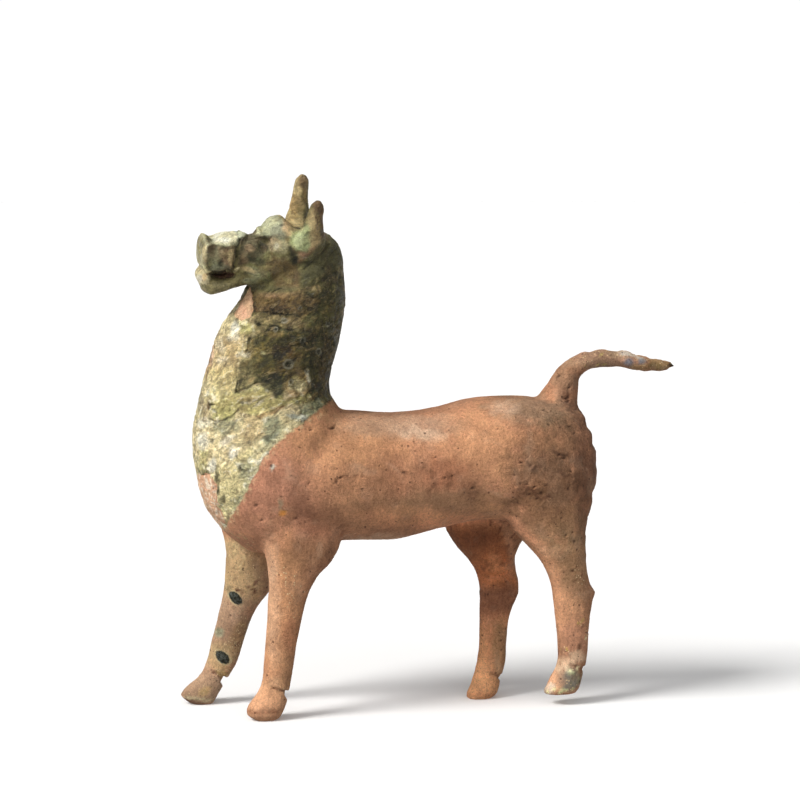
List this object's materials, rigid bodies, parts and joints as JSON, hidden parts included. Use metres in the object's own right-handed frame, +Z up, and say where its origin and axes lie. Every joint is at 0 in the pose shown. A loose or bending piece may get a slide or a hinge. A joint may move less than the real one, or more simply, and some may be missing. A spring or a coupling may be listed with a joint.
{
  "type": "tomb pottery horse figure",
  "caption": "Standing earthenware horse with a raised square-muzzled head, upright ears, green glaze on head, neck and chest, and a tail bent back.",
  "frame": {"origin": "on the floor, under the middle of the horse's bounding box", "axes": "+Z up, the horse faces -X, its left side is towards -Y"},
  "size_m": [0.3418, 0.0958, 0.3639],
  "materials": {
    "fired_clay": "matt red-brown earthenware, with worn mottled green lead glaze over the head, neck and chest"
  },
  "bodies": {
    "root": {"horse": "fired_clay"}
  },
  "joints": []
}
